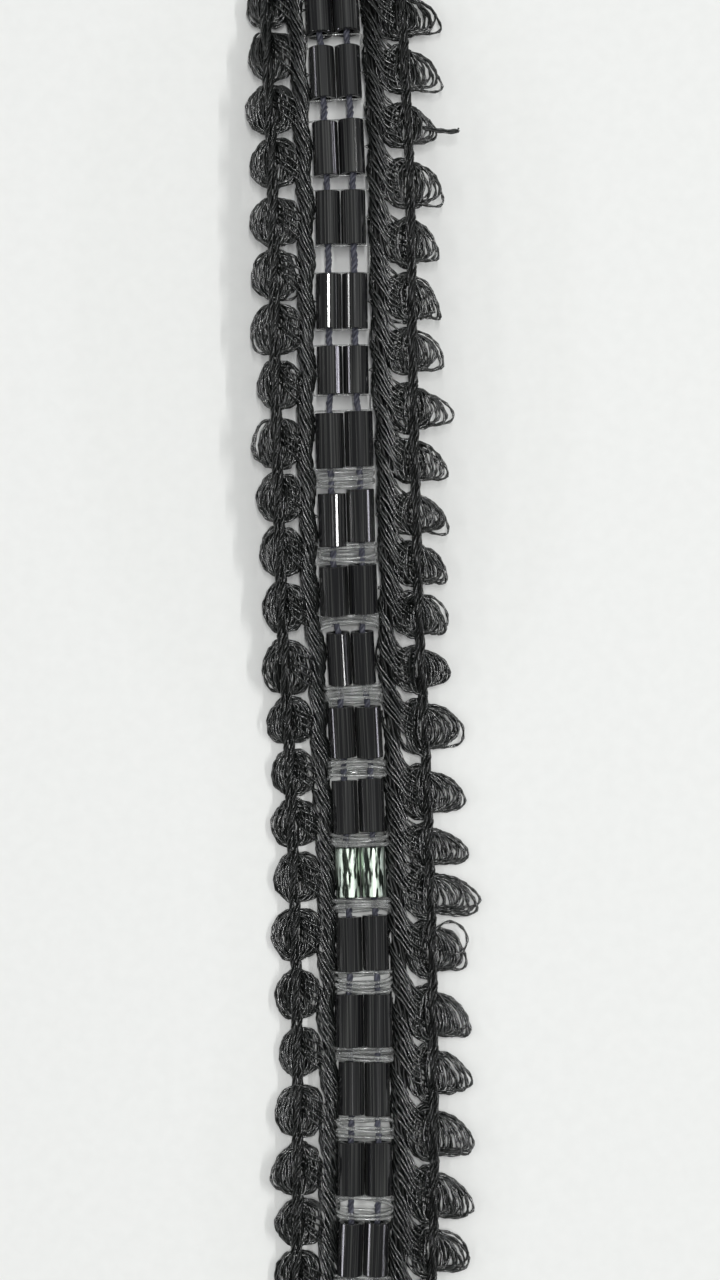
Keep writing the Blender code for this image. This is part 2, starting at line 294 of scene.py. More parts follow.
def model_bead():
    """One tube, upright on its middle: its wall, two cut ends and its bore."""
    length = BEAD_LENGTH * MM
    bpy.ops.mesh.primitive_circle_add(
        vertices=BEAD_SIDES, radius=BEAD_RADIUS * MM, location=(0.0, 0.0, -length / 2)
    )
    item = bpy.context.object
    bpy.ops.object.transform_apply(location=True)
    bpy.ops.object.mode_set(mode="EDIT")
    bpy.ops.mesh.select_all(action="SELECT")
    narrow = BORE_RADIUS / BEAD_RADIUS
    pull(length)
    pull(0.0, narrow)
    pull(-length)
    pull(0.0, 1 / narrow)
    bpy.ops.mesh.select_all(action="SELECT")
    bpy.ops.mesh.remove_doubles(threshold=0.00001)
    bpy.ops.mesh.normals_make_consistent(inside=False)
    bpy.ops.mesh.select_mode(type="EDGE")
    bpy.ops.mesh.select_all(action="DESELECT")
    bpy.ops.object.mode_set(mode="OBJECT")
    for edge in item.data.edges:
        ends = [item.data.vertices[v].co for v in edge.vertices]
        flat = abs(ends[0].z - ends[1].z) < 0.1 * length
        ring = abs(ends[0].xy.length - ends[1].xy.length) < 0.1 * BEAD_RADIUS * MM
        edge.select = flat and ring
    bpy.ops.object.mode_set(mode="EDIT")
    bpy.ops.mesh.bevel(offset=RIM * MM, segments=2, affect="EDGES")
    bpy.ops.object.mode_set(mode="OBJECT")
    flutes = [dice.uniform(-FLUTE_DEPTH, FLUTE_DEPTH) for _ in range(BEAD_SIDES)]
    for vertex in item.data.vertices:
        number = round(math.atan2(vertex.co.y, vertex.co.x) / math.tau * BEAD_SIDES) % BEAD_SIDES
        vertex.co.xy *= 1 + flutes[number]
    bpy.ops.object.shade_flat()
    upright = item.data.attributes.new("upright_place", "FLOAT_VECTOR", "POINT")
    places = [value for vertex in item.data.vertices for value in vertex.co]
    upright.data.foreach_set("vector", places)
    return item


def flute_angles(item):
    """The way that each flat flute of an upright bead faces, as an angle about its axis."""
    angles = []
    for face in item.data.polygons:
        outside = Vector(face.center).xy.length > 0.9 * BEAD_RADIUS * MM
        if outside and abs(face.normal.z) < 0.1:
            angles.append(math.atan2(face.normal.y, face.normal.x))
    return np.array(angles)


def bead_turn(flutes, middle, caught):
    """How far to turn a bead about its axis, so that it mirrors only the caught lights."""
    turns = dice.uniform(0.0, math.tau) + np.linspace(0.0, TURN_RANGE, TURNS_TRIED)
    misses = np.zeros(len(turns))
    to_camera = math.atan2(-middle.x, CAMERA_HEIGHT - middle.z)
    for lamp in lights:
        to_lamp = math.atan2(lamp.location.x - middle.x, lamp.location.z - middle.z)
        facing = math.pi / 2 + (to_lamp + to_camera) / 2
        off = np.abs((turns[:, None] + flutes - facing + math.pi) % math.tau - math.pi).min(axis=1)
        misses += CAUGHT_WEIGHT * off if lamp.name in caught else -np.minimum(off, WELL_MISSED)
    return turns[np.argmin(misses)]


def glass_finish(name, stretch, dark, pale, start, stop, rough, bump_strength):
    """Polished glass with streaks drawn out along each bead."""
    finish, nodes, links, shader = start_finish(name)
    place = nodes.new("ShaderNodeAttribute")
    place.attribute_name = "upright_place"
    mapping = nodes.new("ShaderNodeMapping")
    mapping.inputs["Scale"].default_value = stretch
    streaks = nodes.new("ShaderNodeTexNoise")
    streaks.inputs["Scale"].default_value = 1.0
    links.new(place.outputs["Vector"], mapping.inputs["Vector"])
    links.new(mapping.outputs["Vector"], streaks.inputs["Vector"])
    ramp(nodes, links, streaks.outputs["Fac"], shader.inputs["Base Color"], dark, pale, start, stop)
    smooth, matt = (rough[0],) * 3, (rough[1],) * 3
    ramp(nodes, links, streaks.outputs["Fac"], shader.inputs["Roughness"], smooth, matt)
    bump = nodes.new("ShaderNodeBump")
    bump.inputs["Strength"].default_value = bump_strength
    bump.inputs["Distance"].default_value = 0.00002
    links.new(streaks.outputs["Fac"], bump.inputs["Height"])
    links.new(bump.outputs["Normal"], shader.inputs["Normal"])
    shader.inputs["IOR"].default_value = 1.52
    return finish


dice = random.Random(11)
glass = glass_finish(
    "black_glass",
    stretch=(8000.0, 8000.0, 60.0),
    dark=(0.006, 0.006, 0.007),
    pale=(0.068, 0.07, 0.065),
    start=0.48,
    stop=0.78,
    rough=(0.03, 0.12),
    bump_strength=0.1,
)
# Pale silvery metal patches on dark glass: painted reflection for one pair's broad bright
# reflections.
painted_reflection_glass = glass_finish(
    "painted_reflection_glass",
    stretch=(3200.0, 3200.0, 500.0),
    dark=(0.01, 0.014, 0.01),
    pale=(0.62, 0.72, 0.62),
    start=0.46,
    stop=0.56,
    rough=(0.2, 0.35),
    bump_strength=0.6,
)
painted_reflection_glass.node_tree.nodes["Principled BSDF"].inputs["Metallic"].default_value = 0.8

pattern = model_bead()
flutes = flute_angles(pattern)
for number, pair in enumerate(PAIRS, start=1):
    for side, caught in zip((LEFT, RIGHT), CAUGHT.get(number, ((), ()))):
        far, near, radius = bead_ends(pair, side)
        bead = pattern.copy()
        bead.data = pattern.data.copy()
        bead.name = f"glass_{SIDE_NAMES[side]}_{number:02d}"
        bpy.context.collection.objects.link(bead)
        size = radius / BEAD_RADIUS
        turn = (far - near).to_track_quat("Z", "Y").to_matrix().to_4x4()
        roll = Matrix.Rotation(bead_turn(flutes, (far + near) / 2, caught), 4, "Z")
        scale = Matrix.Diagonal((size, size, (far - near).length / MM / BEAD_LENGTH, 1.0))
        bead.data.transform(Matrix.Translation((far + near) / 2) @ turn @ roll @ scale)
        bead.data.materials.append(painted_reflection_glass if number == PAINTED_REFLECTION_PAIR else glass)
        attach(bead, "root")
        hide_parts(f"bead_{SIDE_NAMES[side]}_{number:02d}")
bpy.data.objects.remove(pattern)

# Bead strings. A navy cord of three waxed plies runs through each column of beads, straight
# down the bores, and shows in the gaps between them.
STRING_PLIES = 3
PLY_RADIUS = 0.15
PLY_SPREAD = 0.15
STRING_LAY = 1.5
STRING_OVERHANG = 0.1
HALF_LENGTH = 60.0
THREAD_LOBE, THREAD_WAIST = 1.2, 0.75
THREAD_STEP = 0.2
THREAD_LAY = 1.9
THREAD_TURN = 2.4
FIBRE_GRAIN = 2600.0
FIBRE_DIFFERENCE = 0.6
THREAD_DIFFERENCE = 0.45
SHADES = (0.15, 0.8)
SMOOTHER, ROUGHER = 0.05, 0.07


def thread_profile():
    """The cross-section of a thread of two plies, one millimetre in radius."""
    outline = bpy.data.curves.new("thread_profile", "CURVE")
    outline.dimensions = "2D"
    spline = outline.splines.new("POLY")
    spline.points.add(5)
    spline.use_cyclic_u = True
    for k, point in enumerate(spline.points):
        angle = -math.pi * k / 3
        size = MM * (THREAD_LOBE if k % 3 == 0 else THREAD_WAIST)
        point.co = (size * math.cos(angle), size * math.sin(angle), 0.0, 1.0)
    item = bpy.data.objects.new("thread_profile", outline)
    bpy.context.collection.objects.link(item)
    return item


def evened(path, step, closed):
    """The same path with its points a step apart, and its length, in metres."""
    if closed:
        path = np.vstack([path, path[:1]])
    hops = np.linalg.norm(np.diff(path, axis=0), axis=1)
    gone = np.concatenate([[0.0], np.cumsum(hops)])
    count = max(6, round(gone[-1] / (step * MM)))
    places = np.linspace(0.0, gone[-1], count + 1)
    if closed:
        places = places[:-1]
    points = np.stack([np.interp(places, gone, path[:, axis]) for axis in range(3)], axis=1)
    return points, gone[-1]


def start_tube(name):
    """An empty curve, which draws a tube with closed ends along each line that it is given."""
    curve = bpy.data.curves.new(name, "CURVE")
    curve.dimensions = "3D"
    curve.use_fill_caps = True
    return curve


def add_line(curve, points, radius):
    """One more line of a curve, through points, at one radius or at a radius for each."""
    line = curve.splines.new("POLY")
    line.points.add(len(points) - 1)
    line.points.foreach_set("co", np.c_[points, np.ones(len(points))].ravel())
    line.points.foreach_set("radius", np.full(len(points), radius))
    return line


def finish_tube(name, curve, finish):
    """The curve's tubes as one smooth mesh, in one finish."""
    item = bpy.data.objects.new(name, curve)
    bpy.context.collection.objects.link(item)
    bpy.ops.object.select_all(action="DESELECT")
    bpy.context.view_layer.objects.active = item
    item.select_set(True)
    bpy.ops.object.convert(target="MESH")
    bpy.ops.object.shade_smooth()
    item.data.materials.clear()
    item.data.materials.append(finish)
    return item


def threads(name, paths, radius, finish, closed=False, step=THREAD_STEP, lay=THREAD_LAY):
    """Two-ply threads along paths, as one piece. Each thread turns about itself once a lay,
    out of step with the one before."""
    curve = start_tube(name)
    curve.twist_mode = "Z_UP"
    curve.bevel_mode = "OBJECT"
    curve.bevel_object = profile
    for number, path in enumerate(paths):
        points, length = evened(path, step, closed)
        turns = max(1, round(length / MM / lay)) * np.arange(len(points)) / len(points)
        line = add_line(curve, points, radius)
        line.use_cyclic_u = closed
        line.points.foreach_set("tilt", math.tau * turns + THREAD_TURN * number)
    return finish_tube(name, curve, finish)


def plied(path, count, spread, lay):
    """Paths that turn about a middle path, once a lay, as the plies of a cord do."""
    points, length = evened(path, THREAD_STEP, False)
    right, up = right_and_up(np.gradient(points, axis=0))
    turn = -math.tau * np.linspace(0.0, length / MM / lay, len(points))[:, None]
    plies = []
    for k in range(count):
        angle = turn + math.tau * k / count
        plies.append(points + spread * MM * (np.cos(angle) * right + np.sin(angle) * up))
    return plies


def thread_finish(name, dark, pale, gloss, rough):
    """Twisted thread: dark and pale fibres, each thread a little different, soft shine."""
    finish, nodes, links, shader = start_finish(name)
    fibres = noise(nodes, links, FIBRE_GRAIN, 3.0)
    island = nodes.new("ShaderNodeNewGeometry")
    mixed = nodes.new("ShaderNodeMath")
    mixed.operation = "MULTIPLY_ADD"
    mixed.inputs[1].default_value = THREAD_DIFFERENCE
    links.new(island.outputs["Random Per Island"], mixed.inputs[0])
    scaled = nodes.new("ShaderNodeMath")
    scaled.operation = "MULTIPLY"
    scaled.inputs[1].default_value = FIBRE_DIFFERENCE
    links.new(fibres.outputs["Fac"], scaled.inputs[0])
    links.new(scaled.outputs["Value"], mixed.inputs[2])
    ramp(nodes, links, mixed.outputs["Value"], shader.inputs["Base Color"], dark, pale, *SHADES)
    smooth, matt = (rough - SMOOTHER,) * 3, (rough + ROUGHER,) * 3
    ramp(nodes, links, fibres.outputs["Fac"], shader.inputs["Roughness"], smooth, matt)
    bump = nodes.new("ShaderNodeBump")
    bump.inputs["Strength"].default_value = 0.15
    bump.inputs["Distance"].default_value = 0.00003
    links.new(fibres.outputs["Fac"], bump.inputs["Height"])
    links.new(bump.outputs["Normal"], shader.inputs["Normal"])
    shader.inputs["Specular IOR Level"].default_value = gloss
    shader.inputs["Sheen Weight"].default_value = 0.02
    shader.inputs["Sheen Roughness"].default_value = 0.4
    return finish


def string_path(side):
    """The string's middle line: straight down each bore, and bent only between the beads."""
    path = []
    for pair in PAIRS:
        far, near, _ = bead_ends(pair, side)
        axis = (far - near).normalized() * STRING_OVERHANG * MM
        path += [far + axis, near - axis]
    first, last = path[0], path[-1]
    path.insert(0, Vector((first.x, HALF_LENGTH * MM, first.z)))
    path.append(Vector((last.x, -HALF_LENGTH * MM, last.z)))
    return np.array(path)


profile = thread_profile()
navy = thread_finish(
    "navy_string",
    dark=(0.02, 0.021, 0.03),
    pale=(0.08, 0.083, 0.11),
    gloss=0.4,
    rough=0.45,
)
for side in (LEFT, RIGHT):
    plies = plied(string_path(side), STRING_PLIES, PLY_SPREAD, STRING_LAY)
    string = threads(f"{SIDE_NAMES[side]}_string", plies, PLY_RADIUS, navy)
    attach(string, "root")
    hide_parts(f"{SIDE_NAMES[side]}_bead_string")

# Clear filament. A fine nylon line crosses the strings in each gap, over and under by turns,
# then runs on beside the beads. Low on the trim it crosses more often and fills the gaps.
FILAMENT_RADIUS = 0.13
FILAMENT_THIN = 0.5
FILAMENT_STEP = 0.15
FILAMENT_IN_SLIT = 0.25
FILAMENT_HEIGHT = 0.7
GIMP_SLIT = 0.35
SLIT_POINTS = 6
WEFT_ACROSS = 2.3
TURN_IN = 1.0
FULL_BELOW = 14.0
FULL_PASSES = 8
PASS_POINTS = 13
PASS_SCATTER = 0.3
PASS_BOW = 0.5
END_MARGIN = 1.2 * FILAMENT_RADIUS
OPEN_SPARE = 0.08
NYLON_GREYS = ((0.62, 0.63, 0.62), (0.86, 0.87, 0.86))
NYLON_HAZE = 1500.0
NYLON_CLEAR, NYLON_MILKY = (0.04,) * 3, (0.26,) * 3

# The filament's height at the sides of a gap and in its middle. In a full gap each pass has its
# own height in the middle, between the two numbers.
OVER_STRINGS = (1.1, (1.3, 1.8))
UNDER_STRINGS = (0.9, (0.4, 0.8))
OPEN_HEIGHTS = (0.7, 1.0)


def gimp_inner(along):
    """How far from the middle a gimp starts: a slit away from the beads there."""
    return eased(PAIRS, "width", along) / 2 + GIMP_SLIT


def beside_bead(side, start, stop):
    """The filament's run down the slit beside a bead."""
    along = np.linspace(start, stop, SLIT_POINTS)
    return laid(side * (gimp_inner(along) + FILAMENT_IN_SLIT), along, FILAMENT_HEIGHT)


def crossing(side, gap, room, ends, bow, heights):
    """One bowed pass of the filament over or under the strings, inside the room of a gap."""
    t = np.linspace(0.0, 1.0, PASS_POINTS)
    middle = np.sin(math.pi * t)
    across = side * WEFT_ACROSS * np.cos(math.pi * t)
    along = ends[0] + (ends[1] - ends[0]) * t + bow * middle
    height = heights[0] + (heights[1] - heights[0]) * middle
    return laid(across, gap + np.clip(along, -room, room), height)


filament_path = []
side = LEFT
for pair, following in zip(PAIRS, PAIRS[1:]):
    upper = pair.along - pair.length / 2
    lower = following.along + following.length / 2
    gap = (upper + lower) / 2
    reach = (upper - lower) / 2 - END_MARGIN
    filament_path.append(beside_bead(side, pair.along, gap + TURN_IN))
    if gap < FULL_BELOW:
        for k in range(FULL_PASSES):
            even = [reach * (1 - 2 * (k + end) / FULL_PASSES) for end in (0, 1)]
            ends = [place + dice.uniform(-PASS_SCATTER, PASS_SCATTER) for place in even]
            edge, highs = OVER_STRINGS if k % 2 == 0 else UNDER_STRINGS
            heights = (edge, dice.uniform(*highs))
            bow = dice.uniform(-PASS_BOW, PASS_BOW)
            filament_path.append(crossing(side, gap, reach, ends, bow, heights))
            side = -side
    else:
        room = reach + OPEN_SPARE
        for place in (room, -room):
            filament_path.append(crossing(side, gap, room, (place, place), 0.0, OPEN_HEIGHTS))
            side = -side
    filament_path.append(beside_bead(side, gap - TURN_IN, following.along))

clear, nodes, links, shader = start_finish("clear_nylon")
haze = noise(nodes, links, NYLON_HAZE)
ramp(nodes, links, haze.outputs["Fac"], shader.inputs["Base Color"], *NYLON_GREYS)
ramp(nodes, links, haze.outputs["Fac"], shader.inputs["Roughness"], NYLON_CLEAR, NYLON_MILKY)
shader.inputs["Transmission Weight"].default_value = 0.85
shader.inputs["IOR"].default_value = 1.42

curve = start_tube("clear_filament")
curve.bevel_depth = FILAMENT_RADIUS * MM
curve.bevel_resolution = 1
points, _ = evened(np.vstack(filament_path), FILAMENT_STEP, False)
add_line(curve, points, np.where(points[:, 1] < FULL_BELOW * MM, 1.0, FILAMENT_THIN))
filament = finish_tube("clear_filament", curve, clear)
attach(filament, "root")
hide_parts("clear_weft")

# Gimps. Beside the beads runs a soft cord of thick plies. The threads of every button are
# laid slantwise over it: on the right from the beads out to a button, on the left from a
# button in to the beads, so that both cords show lines that lean the same way.
GIMP_HALF_WIDTH = {LEFT: 0.62, RIGHT: 0.74}
GIMP_RIDGE = 0.08
GIMP_MIDDLE = 0.58
GIMP_BACK = 0.72
GIMP_TRIM = {LEFT: 0.18, RIGHT: 0.1}
GIMP_WAVE = {LEFT: 0.14, RIGHT: 0.1}
SLITS_CLOSE = (-16.0, 4.0)
PRESSED_IN = 0.24
CORE_PLIES = 6
CORE_RADIUS = 0.22
CORE_SPREAD = {LEFT: (0.24, 0.12), RIGHT: (0.4, 0.12)}
CORE_MIDDLE = 0.45
CORE_INSET = 0.12
CORE_LAY = {LEFT: 20.0, RIGHT: 13.0}
CORE_POINTS = 400
CORE_STEP = 0.3
CORE_PLY_LAY = 4.0
THREAD_RADIUS = 0.115
BUTTON_PITCH = 4.57
STRANDS = 7
STRAND_SPACING = (0.3, 0.7)
STRAND_POINTS = 56
STRAND_FEWEST = 5
STRAND_LAY = 2.4
STRAND_INSET = 0.05
STRAND_END = {LEFT: (5.15, 1.0), RIGHT: (5.25, 0.75)}
STRAND_RISE = 0.5
STRAND_LEVELS = (-0.09, 0.06)
STRAND_WANDER = (0.04, 0.03)
BUTTON_SHARE = 0.55

# Where a button's strands pass, along from its middle: the first strand's place, and how much
# lower the last one's is. The right ones pass the beads, the cord's outer edge and the button.
# The left ones start at the button or under the cord, and pass the cord's shoulder and the beads.
RIGHT_COURSE = ((7.2, BUTTON_PITCH), (2.5, 3.3), (1.5, 2.9))
LEFT_COURSE = ((1.7, 3.2), (0.9, BUTTON_PITCH), (-3.4, BUTTON_PITCH))
UNDER_COURSE = ((2.5, BUTTON_PITCH), (0.9, BUTTON_PITCH), (-3.4, BUTTON_PITCH))

# The parts of a strand's length at which it is on the cord's crest or shoulder, at its outer
# edge, and free of it, and the strand's angles round the cord's back.
RIGHT_CREST, RIGHT_FLARE, RIGHT_EDGE = 0.42, 0.7, 0.72
LEFT_SHOULDER, LEFT_FLARE = 0.25, 0.28
FLARE_EASE = 1.3
TUCK_ANGLE, SHOULDER_ANGLE, UNDER_ANGLE = -0.4, 2.3, 3.4

# The buttons of looped thread: the button's middle, how far it reaches from the middle line,
# its size along the trim, and the droop of its tip.
Button = namedtuple("Button", "along reach tall droop")
BUTTONS = {
    LEFT: (
        Button(57.0, 7.2, 3.3, 0.0),
        Button(52.5, 7.0, 3.4, 0.0),
        Button(48.0, 7.1, 3.4, 0.0),
        Button(43.6, 7.5, 3.4, 0.1),
        Button(39.1, 7.4, 3.5, 0.0),
        Button(34.3, 7.5, 3.5, 0.0),
        Button(29.9, 7.5, 3.4, -0.1),
        Button(25.4, 7.5, 3.5, 0.0),
        Button(20.9, 7.1, 3.3, 0.0),
        Button(16.2, 7.6, 3.5, 0.2),
        Button(11.7, 7.4, 3.3, 0.1),
        Button(7.4, 7.3, 3.4, 0.0),
        Button(2.9, 7.1, 3.4, 0.1),
        Button(-1.8, 7.3, 3.5, 0.0),
        Button(-6.3, 7.3, 3.4, 0.2),
        Button(-10.7, 7.1, 3.2, 0.0),
        Button(-14.9, 7.3, 3.3, 0.1),
        Button(-19.4, 7.2, 3.4, 0.0),
        Button(-24.1, 7.5, 3.5, 0.1),
        Button(-29.0, 7.3, 3.4, 0.0),
        Button(-33.9, 7.1, 3.4, 0.1),
        Button(-38.7, 7.4, 3.5, 0.2),
        Button(-43.5, 7.8, 3.6, 0.3),
        Button(-48.0, 7.4, 3.3, 0.1),
        Button(-52.5, 7.3, 3.4, 0.0),
        Button(-57.0, 7.4, 3.3, 0.0),
    ),
    RIGHT: (
        Button(55.3, 8.6, 3.4, 0.3),
        Button(50.8, 8.9, 3.5, 0.3),
        Button(46.3, 8.8, 3.4, 0.6),
        Button(41.8, 8.0, 3.3, 0.1),
        Button(37.1, 8.4, 3.5, 0.4),
        Button(32.4, 8.1, 3.5, 0.4),
        Button(27.9, 8.2, 3.3, 1.0),
        Button(23.4, 8.3, 3.4, 0.2),
        Button(18.9, 8.9, 3.6, 0.2),
        Button(14.5, 8.4, 3.2, 0.7),
        Button(10.2, 8.3, 3.0, 0.4),
        Button(6.2, 8.2, 3.2, 0.8),
        Button(2.0, 8.2, 3.3, 0.6),
        Button(-2.6, 8.1, 3.4, 0.2),
        Button(-7.4, 9.0, 3.7, 0.2),
        Button(-12.7, 8.9, 3.6, 0.3),
        Button(-17.2, 9.1, 3.0, 0.4),
        Button(-21.0, 9.9, 3.3, 0.6),
        Button(-25.6, 8.5, 3.7, 0.3),
        Button(-30.8, 8.9, 3.7, 0.8),
        Button(-35.7, 8.9, 3.6, 0.6),
        Button(-40.6, 9.1, 3.6, 0.8),
        Button(-45.5, 9.0, 3.6, 0.8),
        Button(-50.0, 8.9, 3.4, 0.5),
        Button(-54.6, 8.7, 3.5, 0.4),
    ),
}


def gimp_outer(side, along):
    """How far from the middle a gimp ends, at the crest of its ridges."""
    return gimp_inner(along) + 2 * GIMP_HALF_WIDTH[side] * (1 + GIMP_RIDGE)


def button_places(side):
    """The middle of every button of an edging, and of one more beyond each end."""
    places = [row.along for row in BUTTONS[side]]
    return [places[0] + BUTTON_PITCH, *places, places[-1] - BUTTON_PITCH]


def button_count(side, along):
    """How many buttons down its edge a place lies, with its fraction."""
    places = button_places(side)
    return np.interp(-along, [-place for place in places], range(len(places)))


def pressed_in(along):
    """How far the gimps are pressed in to the beads: low on the trim they hide the slits."""
    return np.interp(along, SLITS_CLOSE, (PRESSED_IN, 0.0))


def gimp_edge(side, along):
    """The strands' edge by the beads, which swells once a button."""
    wave = GIMP_WAVE[side] * (1 - np.sin(math.tau * button_count(side, along)))
    return gimp_inner(along) + STRAND_INSET - wave - pressed_in(along)


def wander(count, size, waves=1):
    """A slow random wobble along a thread, which ends where it starts."""
    t = np.linspace(0.0, math.tau, count)
    first, second = dice.uniform(0.0, math.tau), dice.uniform(0.0, math.tau)
    strong, weak = dice.uniform(0.5, 1.0), dice.uniform(0.2, 0.6)
    return size * (strong * np.sin(waves * t + first) + weak * np.sin(2 * waves * t + second))


def core_ply(side, k):
    """One thick ply of the cord under the slanting threads."""
    along = np.linspace(HALF_LENGTH, -HALF_LENGTH, CORE_POINTS)
    angle = math.tau * (k / CORE_PLIES + along / CORE_LAY[side] * side)
    middle = (gimp_inner(along) + gimp_outer(side, along)) / 2 - CORE_INSET - pressed_in(along)
    wide, high = CORE_SPREAD[side]
    return laid(side * (middle + wide * np.cos(angle)), along, CORE_MIDDLE + high * np.sin(angle))


def on_gimp(side, along, angle):
    """A place on the cord's round back: no angle at its edge by the beads, a half turn at its
    outer edge."""
    inner = gimp_edge(side, along)
    half = (gimp_outer(side, along) - GIMP_TRIM[side] - inner) / 2
    return inner + half * (1 - np.cos(angle)), GIMP_MIDDLE + GIMP_BACK * np.sin(angle)


def passed(course, share):
    """Where a strand passes that lies a share of the way down its button's fan."""
    return [first - fan * share for first, fan in course]


def strand_right(button, share):
    """A strand that comes round the cord from the beads' side, then flares out to a button."""
    t = np.linspace(0.0, 1.0, STRAND_POINTS)
    along = button + np.interp(t, (0.0, RIGHT_EDGE, 1.0), passed(RIGHT_COURSE, share))
    angle = np.interp(t, (0.0, RIGHT_CREST), (TUCK_ANGLE, math.pi / 2))
    across, height = on_gimp(RIGHT, along, angle)
    edge = gimp_outer(RIGHT, along) - GIMP_TRIM[RIGHT]
    down = np.clip((t - RIGHT_CREST) / (RIGHT_EDGE - RIGHT_CREST), 0.0, 1.0)
    across = across + (edge - across) * down
    out = np.clip((t - RIGHT_FLARE) / (1 - RIGHT_FLARE), 0.0, 1.0) ** FLARE_EASE
    end, low = STRAND_END[RIGHT]
    return across + (end - across) * out, along, height + (low - height) * out**2


def strand_left(button, share):
    """A strand that runs down over the cord and in to the beads. The upper half of them leave
    the button, the others come up from under the cord."""
    t = np.linspace(0.0, 1.0, STRAND_POINTS)
    leaves = share < BUTTON_SHARE
    stages = (0.0, LEFT_SHOULDER, 1.0)
    along = button + np.interp(t, stages, passed(LEFT_COURSE if leaves else UNDER_COURSE, share))
    start = SHOULDER_ANGLE if leaves else UNDER_ANGLE
    angle = np.interp(t, stages, (start, SHOULDER_ANGLE, TUCK_ANGLE))
    across, height = on_gimp(LEFT, along, angle)
    out = np.clip((LEFT_FLARE - t) / LEFT_FLARE, 0.0, 1.0) if leaves else np.zeros(len(t))
    end, low = STRAND_END[LEFT]
    rise = STRAND_RISE * np.sin(math.pi * out)
    return across + (end - across) * out, along, height + (low - height) * out + rise


def inside(across, along, height, side):
    """The part of a thread between the two cut ends of the trim, laid in its place."""
    kept = np.abs(along) < HALF_LENGTH
    return laid(side * across[kept], along[kept], height[kept])


black = thread_finish(
    "black_thread",
    dark=(0.001, 0.0013, 0.0011),
    pale=(0.006, 0.0075, 0.0068),
    gloss=0.85,
    rough=0.19,
)
# The cord's plies get a slightly darker, duller copy of the black thread: painted shade for the
# deep gaps between the slanting strands.
shaded = thread_finish(
    "shaded_thread",
    dark=(0.001, 0.0013, 0.0011),
    pale=(0.005, 0.006, 0.0055),
    gloss=0.4,
    rough=0.4,
)
strand = {LEFT: strand_left, RIGHT: strand_right}
for side in (LEFT, RIGHT):
    name = f"{SIDE_NAMES[side]}_gimp"
    plies = [core_ply(side, k) for k in range(CORE_PLIES)]
    core = threads(f"{name}_core", plies, CORE_RADIUS, shaded, step=CORE_STEP, lay=CORE_PLY_LAY)
    paths = []
    places = button_places(side)
    for button in (*places, places[-1] - BUTTON_PITCH):
        for k in range(STRANDS):
            share = (k + dice.uniform(*STRAND_SPACING)) / STRANDS
            across, along, height = strand[side](button, share)
            height = height + dice.uniform(*STRAND_LEVELS) + wander(len(height), STRAND_WANDER[1])
            across = across + wander(len(across), STRAND_WANDER[0])
            path = inside(across, along, height, side)
            if len(path) > STRAND_FEWEST:
                paths.append(path)
    slanted = threads(f"{name}_threads", paths, THREAD_RADIUS, black, lay=STRAND_LAY)
    for piece in (core, slanted):
        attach(piece, "root")
        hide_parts(f"{SIDE_NAMES[side]}_gimp")

# Chains. A crocheted chain runs through each row of buttons and holds their loops. It has two
# legs, each of four threads, that cross over every button and part a little between them.
CHAIN_ACROSS = {LEFT: 5.5, RIGHT: 5.7}
CHAIN_SWING = {LEFT: 0.25, RIGHT: 0.19}
CHAIN_HEIGHT = 0.85
CHAIN_ROLL = 0.12
CHAIN_RISE = 0.65
RISE_LENGTH = 1.9
LEG_POINTS = 900
LEG_THREADS = 4
LEG_SPREAD = 0.14
LEG_LAY = 2.7


def chain_leg(side, leg):
    """The middle line of one leg, which rises over the middle of each button."""
    along = np.linspace(HALF_LENGTH, -HALF_LENGTH, LEG_POINTS)
    phase = math.pi * (button_count(side, along) + leg)
    rise = sum(np.exp(-(((along - row.along) / RISE_LENGTH) ** 2)) for row in BUTTONS[side])
    across = CHAIN_ACROSS[side] + CHAIN_SWING[side] * np.sin(phase)
    height = CHAIN_HEIGHT + CHAIN_ROLL * np.cos(phase) + CHAIN_RISE * rise
    return laid(side * across, along, height)


dull = thread_finish(
    "chain_thread",
    dark=(0.0008, 0.001, 0.0009),
    pale=(0.005, 0.006, 0.0055),
    gloss=0.45,
    rough=0.19,
)
for side in (LEFT, RIGHT):
    paths = []
    for leg in range(2):
        paths += plied(chain_leg(side, leg), LEG_THREADS, LEG_SPREAD, LEG_LAY)
    chain = threads(f"{SIDE_NAMES[side]}_chain", paths, THREAD_RADIUS, dull)
    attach(chain, "root")
    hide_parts(f"{SIDE_NAMES[side]}_edging")

# Buttons. Each is a bundle of loops of one continuous thread, thrown from side to side through
# the chain. On the left the loops lie tight. On the right they are slack, and their tips droop.
TOP_LOOPS = 9
LOW_LOOPS = 6
LOOP_POINTS = 72
LOOP_STEP = 0.27
NARROWEST = 0.15
LOW_START = 0.6
LOW_WIDEST = 0.95
LOW_INWARD = 0.8
AIRY_REACH = {LEFT: 0.8, RIGHT: 0.45}
AIRY_ABOVE = 13.0
LOOP_OVER_GIMP = {LEFT: 0.35, RIGHT: 0.65}
LOOP_FAN = {LEFT: 0.1, RIGHT: 0.14}
TIP_DROOP = {LEFT: 0.1, RIGHT: 0.65}
LOOP_SCATTER = 0.16
LOOP_WANDER = (0.07, 0.06)
LOOP_WAVES = 3
LOOP_LOW = 0.15
LOOP_RIM = 0.35
LOOP_CREST = 0.65
LOOP_LEVELS = (-0.05, 0.1)
LOOP_FLOOR = 0.13
TOP_ROLL, LOW_ROLL = 0.16, 0.04

# The two halves of a loop, outside and inside the chain: their sizes, as parts of the button's,
# how much these vary, and how full their bows are. Low on the right the inner halves are fuller.
REACH_VARIES = (0.97, 1.05)
INWARD_VARIES = (0.0, 0.3)
OUTER_TALL = {LEFT: 1.12, RIGHT: 0.87}
OUTER_VARIES = (0.9, 1.06)
INNER_VARIES = (0.94, 1.13)
INNER_FULLER = {LEFT: 0.0, RIGHT: 0.13}
FULLER_BELOW = (-15.0, 5.0)
OUTER_BOW = (0.7, 1.15)
INNER_BOW = {LEFT: (0.3, 0.6), RIGHT: (0.4, 0.8)}


